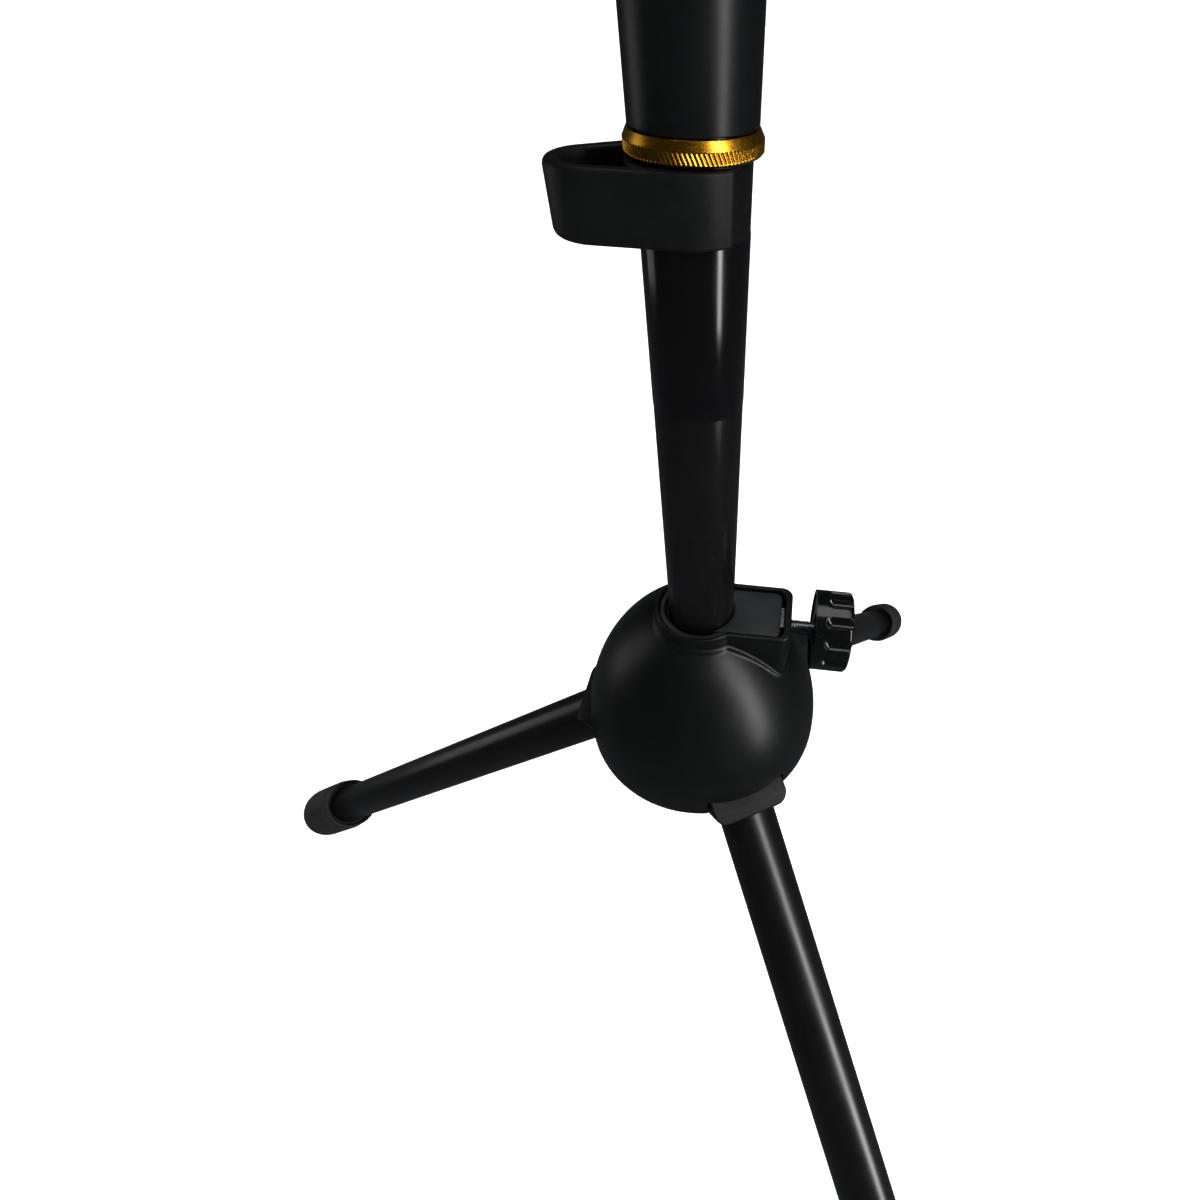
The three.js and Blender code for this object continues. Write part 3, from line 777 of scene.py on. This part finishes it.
def makeBaseScrews():
    low = -hub["base"] - 0.15
    profile = softened([
        (0, low - 1.8, 0),
        (screw["head"] * 0.62, low - 1.8, 0.8),
        (screw["head"], low - 0.9, 0.5),
        (screw["head"], low, 0.1),
        (screw["shank"], low, 0),
    ])
    rows = 60
    profile += [(screw["shank"], low + screw["length"] * i / rows) for i in range(1, rows + 1)]
    profile.append((0, low + screw["length"] + 0.9))

    def thread(angle, height, radius):
        return threadDepth(angle, height, screw["pitch"], 0.3) if height > low + 3 else 0

    cross = [
        slab([[(-w, -h, 0), (w, -h, 0), (w, h, 0), (-w, h, 0)]], low - 3, low - 0.7, 0.01, 1)
        for w, h in ((1.5, 0.35), (0.35, 1.5))
    ]
    shape = moulded(turned(profile, 48, relief=thread), [("DIFFERENCE", c) for c in cross], 0)
    mesh = finishMesh("base_screw", shape, zinc)
    for i, (x, y) in enumerate(screwPlaces()):
        name = f"base_screw_{i + 1}"
        place = metres(Matrix.Translation((x, y, 0)))
        showPiece(f"cover_screw_{i + 1}", mesh, "hub", [name], place)


def threadDepth(angle, height, pitch, depth):
    # how far a single-start V thread lies below its crest
    phase = (height / pitch - angle / fullTurn) % 1
    return depth * abs(1 - 2 * phase)


makeGuideBush()
makePressureBlock()
makeBase()
makeBaseScrews()
print("bush, clamp block and base made")

# thumbscrew: made along Z, then laid along X
knob = {
    "face": 35.2,
    "length": 11.2,
    "radius": 12.6,
    "skirt": 3.8,
    "socket": 7.7,
    "flutes": 12,
    "fluteRadius": 1.9,
    "fluteDepth": 1.1,
    "rows": 84,
}
bolt = {"radius": 2.5, "pitch": 0.8, "depth": 0.49, "start": 22.35, "end": 42.4, "drop": 6}
boltHeight = Matrix.Translation((0, 0, hub["lipTop"] - bolt["drop"]))
boltPlace = metres(boltHeight @ Matrix.Rotation(math.pi / 2, 4, "Y"))


def makeKnob():
    centre = knob["radius"] - knob["fluteDepth"] + knob["fluteRadius"]

    def flute(angle, height, radius):
        # round-ended grooves: depth of a ball-nosed cutter below this radius
        step = fullTurn / knob["flutes"]
        away = (angle + step / 2) % step - step / 2
        short = max(0, knob["skirt"] + 0.9 - (height - knob["face"]))
        side = centre * math.sin(away)
        room = knob["fluteRadius"] ** 2 - side**2 - short**2
        if room <= 0 or radius < knob["radius"] - 4:
            return 0
        wall = centre * math.cos(away) - math.sqrt(room)
        return max(0, radius - wall)

    low = knob["face"]
    high = low + knob["length"]
    outer = softened([
        (bolt["radius"] + 0.2, low + knob["socket"], 0),
        (bolt["radius"] + 0.2, low, 0.3),
        (4.6, low, 0.3),
        (5.0, low + 0.5, 0.2),
        (knob["radius"] - 1.6, low + 0.5, 0.2),
        (knob["radius"] - 1.2, low, 0.25),
        (knob["radius"], low, 0.7),
    ])
    side = [
        (knob["radius"], low + 1 + (knob["length"] - 3.4) * i / knob["rows"])
        for i in range(knob["rows"] + 1)
    ]
    cap = softened(
        [
            (knob["radius"], high - 2.3, 0),
            (knob["radius"], high, 1.9),
            (8.2, high, 0.5),
            (7.2, high - 1.0, 0.6),
            (3.0, high - 1.2, 0.4),
            (0, high - 1.0, 0),
        ],
        steps=8,
    )
    shape = turned([(0, low + knob["socket"]), *outer, *side, *cap[1:]], knob["flutes"] * 36, relief=flute)
    mesh = finishMesh("thumb_knob", shape, knobPlastic, 40)
    showPiece("thumb_knob", mesh, "clamp_knob", ["clamp_knob"], boltPlace)


def makeBolt():
    def thread(angle, height, radius):
        return threadDepth(angle, height, bolt["pitch"], bolt["depth"]) if radius > 2 else 0

    rows = round((bolt["end"] - bolt["start"] - 1) / bolt["pitch"] * 9)
    flank = [
        (bolt["radius"], bolt["start"] + 0.9 + (bolt["end"] - bolt["start"] - 0.9) * i / rows)
        for i in range(rows + 1)
    ]
    profile = [(0, bolt["start"]), (1.6, bolt["start"]), *flank, (0, bolt["end"])]
    shape = turned(profile, 48, relief=thread)
    mesh = finishMesh("thumb_bolt", shape, zinc, 80)
    showPiece("thumb_bolt", mesh, "clamp_knob", ["clamp_screw"], boltPlace)


makeKnob()
makeBolt()
print("thumbscrew made")

# legs: made along X from the pivot pin
knuckle = {
    "width": 27,
    "corner": 5,
    "end": 51,  # along a leg, where the tube leaves it
    "rim": 12,
    "barrel": 9,
    "socket": 4.2,
    "pinHole": 2.75,
    "grain": 0.4,
}
foot = {
    "radius": 14.3,
    "length": 33,
    "round": 5,
    "wallEnd": 7,
    "lip": 0.6,
    "lipLength": 5,
    "recess": 4,
    "recessRadius": 12.8,
}


def makeKnuckle():
    end = knuckle["end"] - pivotAlong
    rim = knuckle["rim"]
    barrel = knuckle["barrel"]
    side = [
        (end, -rim, 0.8),
        (end, rim, 0.8),
        (end - knuckle["socket"], rim, 1.5),
        *arcPoints((0, 0), barrel, math.pi / 2, 3 * math.pi / 2, 32),
        (end - knuckle["socket"] - 0.5, -barrel, 0.4),
        (end - knuckle["socket"] + 0.5, -rim, 0.6),
    ]
    half = knuckle["width"] / 2
    body = lying(slab([softened(side, closed=True)], -half - 1, half + 1, 0.01, 1), "Y")
    plan = [
        (-barrel - 1, -half, 0),
        (end, -half, knuckle["corner"]),
        (end, half, knuckle["corner"]),
        (-barrel - 1, half, 0),
    ]
    outline = slab([softened(plan, closed=True, steps=10)], -30, 30, 0.01, 1)
    bore = legs["radius"] + 0.3
    seat = end - knuckle["socket"]
    socket = turned([(0, seat), (bore, seat), (bore, end + 5), (0, end + 5)], 96)
    hole = turned([(0, -20), (knuckle["pinHole"], -20), (knuckle["pinHole"], 20), (0, 20)], 48)
    steps = [
        ("INTERSECT", outline),
        ("DIFFERENCE", lying(socket)),
        ("DIFFERENCE", lying(hole, "Y")),
    ]
    return finishMesh("leg_knuckle", moulded(body, steps, knuckle["grain"], 3), knucklePlastic, 60)


def makeLegTube():
    start = knuckle["end"] - pivotAlong - knuckle["socket"] + 0.3
    end = legs["reach"] - pivotAlong - foot["wallEnd"] - 0.3
    inner = legs["radius"] - legs["wall"]
    profile = [
        (inner, start, 0.2),
        (legs["radius"], start, 0.3),
        (legs["radius"], end, 0.3),
        (inner, end, 0.2),
    ]
    shape = lying(turned(softened(profile, closed=True, steps=3), 128, closed=True))
    return finishMesh("leg_rod", shape, legCoat)


def makeFoot():
    end = legs["reach"] - pivotAlong
    start = end - foot["length"]
    bore = legs["radius"] + 0.12
    lip = foot["radius"] - foot["lip"]
    profile = [
        (0, end - foot["wallEnd"], 0),
        (bore, end - foot["wallEnd"], 0.3),
        (bore, start + foot["recess"], 0.4),
        (foot["recessRadius"] - 0.4, start + foot["recess"] - 1, 0.8),
        (foot["recessRadius"], start, 0.5),
        (lip, start, 0.55),
        (lip, start + foot["lipLength"], 0.5),
        (foot["radius"], start + foot["lipLength"] + 0.7, 0.6),
        (foot["radius"], end, foot["round"]),
        (8.4, end, 0.3),
        (8.0, end - 0.7, 0.2),
        (7.2, end - 0.7, 0.2),
        (6.8, end, 0.3),
        (4.4, end, 0.3),
        (4.0, end - 0.7, 0.2),
        (3.2, end - 0.7, 0.2),
        (2.8, end, 0.3),
        (0, end, 0),
    ]
    shape = lying(turned(softened(profile, steps=8), 144))
    return finishMesh("rubber_tip", shape, footBlack)


knuckleMesh = makeKnuckle()
legMesh = makeLegTube()
footMesh = makeFoot()
for i, turn in enumerate(legTurns):
    number = i + 1
    place = metres(legPlace(turn))
    body = f"leg_{number}"
    showPiece(f"leg_knuckle_{number}", knuckleMesh, body, [f"leg_plug_{number}"], place)
    showPiece(f"leg_rod_{number}", legMesh, body, [f"leg_tube_{number}"], place)
    showPiece(f"rubber_tip_{number}", footMesh, body, [f"rubber_foot_{number}"], place)
print("legs made")

# outer tube with its end ring and label
stem = {"radius": 10, "wall": 1.2, "labelGap": 0.03, "labelThickness": 0.07}


def makeStem():
    low = heightOf("outer_tube", 0)
    high = heightOf("outer_tube", 1)
    inner = stem["radius"] - stem["wall"]
    outer = stem["radius"]
    profile = [(inner, low, 0.2), (outer, low, 0.4), (outer, high, 0.4), (inner, high, 0.2)]
    shape = turned(softened(profile, closed=True, steps=3), 160, closed=True)
    mesh = finishMesh("stem_tube", shape, stemCoat)
    showPiece("stem_tube", mesh, "lower_tube", ["outer_tube"])


def makeStemRing():
    low = heightOf("tube_end_ring", 0)
    bore = 8.15
    plug = 8.6
    flange = 11.65
    profile = [
        (bore, low, 0.3),
        (flange, low, 0.7),
        (flange, low + 2, 0.2),
        (plug, low + 2, 0.1),
        (plug, heightOf("tube_end_ring", 1), 0.2),
        (bore, heightOf("tube_end_ring", 1), 0.1),
    ]
    shape = turned(softened(profile, closed=True), 128, closed=True)
    mesh = finishMesh("stem_end_ring", shape, knucklePlastic)
    showPiece("stem_end_ring", mesh, "lower_tube", ["tube_end_ring"])


def makeLabel():
    low = heightOf("label_sleeve", 0)
    high = heightOf("label_sleeve", 1)
    inner = stem["radius"] + stem["labelGap"] - 0.02
    outer = stem["radius"] + stem["labelGap"] + stem["labelThickness"]
    profile = [(inner, low, 0), (outer, low + 0.12, 0.05), (outer, high - 0.12, 0.05), (inner, high, 0)]
    shape = turned(softened(profile, closed=True, steps=2), 160, closed=True)
    mesh = finishMesh("label_film", shape, labelFilm)
    showPiece("label_film", mesh, "lower_tube", ["label_sleeve"])


makeStem()
makeStemRing()
makeLabel()
print("outer tube made")

# cable clip: drawn with its loop along +X, then turned to its side
clip = {
    "wall": 3,
    "reach": 16.5,  # from the tube's axis to the middle of the loop's round end
    "nose": 8.4,
    "seat": 10.35,
    "back": 11.75,
    "shift": 0.9,
    "mouth": 136,
    "azimuth": 197,
    "rim": 1.15,
    "thinRim": 0.55,
}


def makeClip():
    low = heightOf("cable_clip", 0)
    high = heightOf("cable_clip", 1)
    big = clip["back"] + clip["shift"]
    lean = math.acos((big - clip["nose"]) / (clip["reach"] - clip["shift"]))
    mouth = math.radians(clip["mouth"] / 2)
    ringMiddle = (clip["shift"], 0)
    noseMiddle = (clip["reach"], 0)

    def lip(sign):
        # rounded end of the snap ring; sign says which side of the mouth
        angle = math.pi - mouth
        outer = Vector((clip["shift"] + big * math.cos(angle), big * math.sin(angle) * sign))
        inner = Vector((clip["seat"] * math.cos(angle), clip["seat"] * math.sin(angle) * sign))
        middle = (outer + inner) / 2
        radius = (outer - inner).length / 2
        start = math.atan2(outer.y - middle.y, outer.x - middle.x)
        swing = math.pi * sign
        points = arcPoints(middle, radius, start, start + swing, 8)
        return points if sign > 0 else list(reversed(points))

    outer = [
        *arcPoints(ringMiddle, big, math.pi + mouth, fullTurn - lean, 40)[1:],
        *arcPoints(noseMiddle, clip["nose"], -lean, lean, 40),
        *arcPoints(ringMiddle, big, lean, math.pi - mouth, 40)[1:-1],
        *lip(1),
        *arcPoints((0, 0), clip["seat"], math.pi - mouth, mouth - math.pi, 96)[1:-1],
        *lip(-1),
    ]
    # the loop's opening: a teardrop closed by the wall of the snap ring
    small = clip["nose"] - clip["wall"]
    slant = Vector((math.cos(lean), math.sin(lean)))
    noseEnd = Vector(noseMiddle) + slant * small
    ringEnd = Vector(ringMiddle) + slant * (big - clip["wall"])
    run = (ringEnd - noseEnd).normalized()
    ahead = noseEnd.dot(run)
    reach = -ahead - math.sqrt(ahead**2 - noseEnd.length_squared + clip["back"] ** 2)
    meeting = noseEnd + run * reach
    swing = math.atan2(meeting.y, meeting.x)
    wallArc = arcPoints((0, 0), clip["back"], -swing, swing, 24)
    noseArc = arcPoints(noseMiddle, small, lean, -lean, 32)
    corner = 0.7
    hole = softened(
        [
            (*wallArc[0][:2], corner),
            *wallArc[1:-1],
            (*wallArc[-1][:2], corner),
            *noseArc,
        ],
        closed=True,
        steps=4,
    )

    def rim(point):
        share = min(1, max(0, (point.x - 2) / 8))
        return clip["thinRim"] + (clip["rim"] - clip["thinRim"]) * share

    shape = slab([outer, hole], low, high, rim, 6)
    mesh = finishMesh("cable_hook", shape, clipRubber, 50)
    place = Matrix.Rotation(math.radians(clip["azimuth"]), 4, "Z")
    showPiece("cable_hook", mesh, "cable_clip", ["cable_clip"], place)


makeClip()
print("cable clip made")

# knurled ring
ring = {
    "bore": 10.25,
    "radius": 11.7,
    "teeth": 96,
    "lean": 0.5,  # how far the grooves lean from upright
    "depth": 0.2,
    "foot": 0.35,  # small chamfer below
    "shoulder": 1.3,  # tall plain chamfer above
    "shoulderIn": 0.75,
    "rows": 26,
}


def makeRing():
    low = heightOf("lock_ring", 0)
    high = heightOf("lock_ring", 1)
    start = low + ring["foot"]
    finish = high - ring["shoulder"]

    def knurl(angle, height, radius):
        # leaning V grooves that run out into the plain chamfers
        if radius < ring["radius"] - 0.01:
            return 0
        turn = angle + (height - start) / ring["radius"] * ring["lean"]
        wave = abs(math.sin(turn * ring["teeth"] / 2))
        fade = min(1, max(0, min(height - start, finish - height) / 0.15))
        return ring["depth"] * (1 - wave**0.8) * fade

    side = [
        (ring["radius"], start + (finish - start) * i / ring["rows"])
        for i in range(ring["rows"] + 1)
    ]
    profile = [
        *softened([
            (ring["bore"], start, 0),
            (ring["bore"], low, 0.2),
            (ring["radius"] - ring["foot"], low, 0.12),
            side[0] + (0,),
        ]),
        *side[1:],
        *softened([
            side[-1] + (0,),
            (ring["radius"] - 0.1, finish + 0.15, 0.1),
            (ring["radius"] - ring["shoulderIn"], high, 0.15),
            (ring["bore"], high, 0.2),
            (ring["bore"], start, 0),
        ])[1:-1],
    ]
    shape = turned(profile, ring["teeth"] * 8, closed=True, relief=knurl)
    mesh = finishMesh("knurled_ring", shape, gold, 40)
    showPiece("knurled_ring", mesh, "lock_ring", ["lock_ring"])


makeRing()
print("lock ring made")

# clutch barrel
clutch = {"radius": 10.8, "topBore": 8.2, "skirtBore": 10.25, "threadBore": 9.65, "edge": 1.6, "grooves": 5}


def makeClutch():
    low = heightOf("clutch_grip", 0)
    high = heightOf("clutch_grip", 1)
    cone = heightOf("clutch_collet", 1)
    profile = [
        (clutch["skirtBore"], low, 0.2),
        (clutch["radius"], low, 0.5),
    ]
    for i in range(clutch["grooves"]):
        z = high - 8 - i * 2.6  # shallow finger grooves under the shoulder
        profile[2:2] = [
            (clutch["radius"], z - 0.55, 0.2),
            (clutch["radius"] - 0.45, z, 0.3),
            (clutch["radius"], z + 0.55, 0.2),
        ]
    profile += [
        (clutch["radius"], high, clutch["edge"]),
        (clutch["topBore"], high, 0.5),
        (clutch["topBore"], cone + 3, 0.5),
        (clutch["threadBore"], cone + 0.5, 0.5),
        (clutch["threadBore"], low + 9.5, 0.1),
        (clutch["skirtBore"], low + 9.3, 0.1),
    ]
    shape = turned(softened(profile, closed=True), 160, closed=True)
    mesh = finishMesh("clutch_barrel", shape, clutchCoat)
    showPiece("clutch_barrel", mesh, "clutch", ["clutch_grip"])


makeClutch()
print("clutch made")

# inner tube, its shoulder and the microphone thread
upper = {
    "radius": 7.95,
    "wall": 1.1,
    "shoulder": 11,
    "studRadius": 7.94,
    "studPitch": 0.941,  # 27 threads to the inch
    "studDepth": 0.55,
    "studRows": 150,
}


def makeInnerTube():
    low = heightOf("inner_tube", 0)
    high = heightOf("inner_tube", 1)
    inner = upper["radius"] - upper["wall"]
    outer = upper["radius"]
    profile = [(inner, low, 0.2), (outer, low, 0.3), (outer, high, 0.3), (inner, high, 0.2)]
    shape = turned(softened(profile, closed=True, steps=3), 144, closed=True)
    mesh = finishMesh("extension_tube", shape, stemCoat)
    showPiece("extension_tube", mesh, "mic_tube", ["inner_tube"])


def makeShoulder():
    foot = heightOf("inner_tube", 1) + 0.15
    top = heightOf("stud_collar", 1)
    low = heightOf("stud_collar", 0)
    spigot = upper["radius"] - upper["wall"] - 0.15
    hole = upper["studRadius"] - 3

    def flats(angle, height, radius):
        # two spanner flats across the lower half
        if radius < upper["shoulder"] - 1.2 or not foot + 0.4 < height < foot + 4.6:
            return 0
        reach = 9.6 / max(0.1, abs(math.sin(angle)))
        return max(0, radius - reach)

    rows = [(upper["shoulder"], foot + 1 + 7.6 * i / 30) for i in range(31)]
    profile = [
        *softened([
            (hole, top, 0),
            (hole, low, 0.2),
            (spigot, low, 0.4),
            (spigot, foot, 0.1),
            (9.2, foot, 0),
        ]),
        *softened([(9.2, foot, 0), (upper["shoulder"], foot, 0.8), rows[0] + (0,)])[1:],
        *rows[1:],
        *softened([rows[-1] + (0,), (upper["shoulder"], top, 0.9), (9.2, top, 0), (hole, top, 0)])[1:-1],
    ]
    shape = turned(profile, 192, closed=True, relief=flats)
    mesh = finishMesh("stud_shoulder", shape, clutchCoat)
    showPiece("stud_shoulder", mesh, "mic_tube", ["stud_collar"])


def makeStud():
    low = heightOf("mic_stud", 0)
    top = heightOf("mic_stud", 1)
    seat = heightOf("stud_collar", 1) + 0.15
    shank = upper["studRadius"] - 3.15
    crest = upper["studRadius"]

    def thread(angle, height, radius):
        if radius < crest - 0.01:
            return 0
        fade = min(1, (top - height) / 1.2)
        return threadDepth(angle, height, upper["studPitch"], upper["studDepth"]) + 0.5 * (1 - fade)

    span = top - seat - 2.0
    flank = [(crest, seat + 1.6 + span * i / upper["studRows"]) for i in range(upper["studRows"] + 1)]
    profile = [
        (0, low),
        (shank, low),
        (shank, seat),
        (crest - 0.9, seat),
        (crest - 0.9, seat + 1.2),
        *flank,
        (crest - 0.9, top),
        (5.0, top),
        (4.2, top - 0.8),
        (0, top - 1.2),
    ]
    shape = turned(profile, 96, relief=thread)
    mesh = finishMesh("mic_thread", shape, nickel, 50)
    showPiece("mic_thread", mesh, "mic_tube", ["mic_stud"])


makeInnerTube()
makeShoulder()
makeStud()
print("inner tube and microphone thread made")

# finishes of the frame's own nodes that stay
kept = {
    "lower_bush": insertPlastic,
    "clutch_collet": insertPlastic,
    "inner_bush": insertPlastic,
    "clamp_nut": zinc,
    "threaded_sleeve": nickel,
    "pivot_pin_1": pinSteel,
    "pivot_pin_2": pinSteel,
    "pivot_pin_3": pinSteel,
}
for name, material in kept.items():
    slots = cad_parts[name].data.materials
    slots.clear()
    slots.append(material)
print("kept nodes finished")

# floor and lights
studio = {
    "world": "#c9ced6",
    "roomStrength": 0.03,  # what shiny pieces see above the horizon
    "tableStrength": 0.1,  # and below it
    "floorRadius": 4000,
    "sweep": 900,  # radius of the curve from floor to wall
    "wall": 2500,
    # azimuth, elevation, distance, width, height, power
    "window": (-31, 24, 0.9, 0.16, 1.5, 12),
    "overhead": (100, 78, 1.8, 1.0, 1.0, 7),
    "rim": (172, 12, 1.2, 0.5, 1.0, 1.5),
}


def makeFloor():
    # a pale floor that sweeps up into a wall; shiny pieces don't reflect it, they see the world instead
    corners = [
        (0, 0, 0),
        (studio["floorRadius"], 0, studio["sweep"]),
        (studio["floorRadius"], studio["wall"], 0),
    ]
    shape = turned(softened(corners, steps=16), 96)
    floor = bpy.data.objects.new("floor", finishMesh("floor", shape, paleFloor()))
    scene.collection.objects.link(floor)
    floor.location.z = cadBox[0].z
    floor.visible_glossy = False


def makeLight(name):
    azimuth, elevation, distance, width, height, power = studio[name]
    azimuth = math.radians(azimuth)
    elevation = math.radians(elevation)
    aim = standPlace.to_translation()
    away = Vector((
        math.cos(elevation) * math.cos(azimuth),
        math.cos(elevation) * math.sin(azimuth),
        math.sin(elevation),
    ))
    data = bpy.data.lights.new(name, "AREA")
    data.shape = "RECTANGLE"
    data.size = width
    data.size_y = height
    data.energy = power
    light = bpy.data.objects.new(name, data)
    scene.collection.objects.link(light)
    light.location = aim + away * distance
    light.rotation_euler = away.to_track_quat("Z", "Y").to_euler()


def makeWorld():
    world = bpy.data.worlds.new("studio")
    world.use_nodes = True
    backdrop = world.node_tree.nodes["Background"]
    backdrop.inputs["Color"].default_value = hexColour(studio["world"])
    tree = world.node_tree
    direction = addNode(tree, "ShaderNodeTexCoord").outputs["Generated"]
    parts = addNode(tree, "ShaderNodeSeparateXYZ", links={"Vector": direction})
    fall = {
        "From Min": -0.7,
        "From Max": 0.05,
        "To Min": studio["tableStrength"],
        "To Max": studio["roomStrength"],
    }
    strength = addNode(tree, "ShaderNodeMapRange", fall, {"Value": parts.outputs["Z"]})
    tree.links.new(strength.outputs["Result"], backdrop.inputs["Strength"])
    scene.world = world


makeFloor()
for name in ("window", "overhead", "rim"):
    makeLight(name)
makeWorld()
scene.view_settings.view_transform = "Standard"
print("floor and lights made")
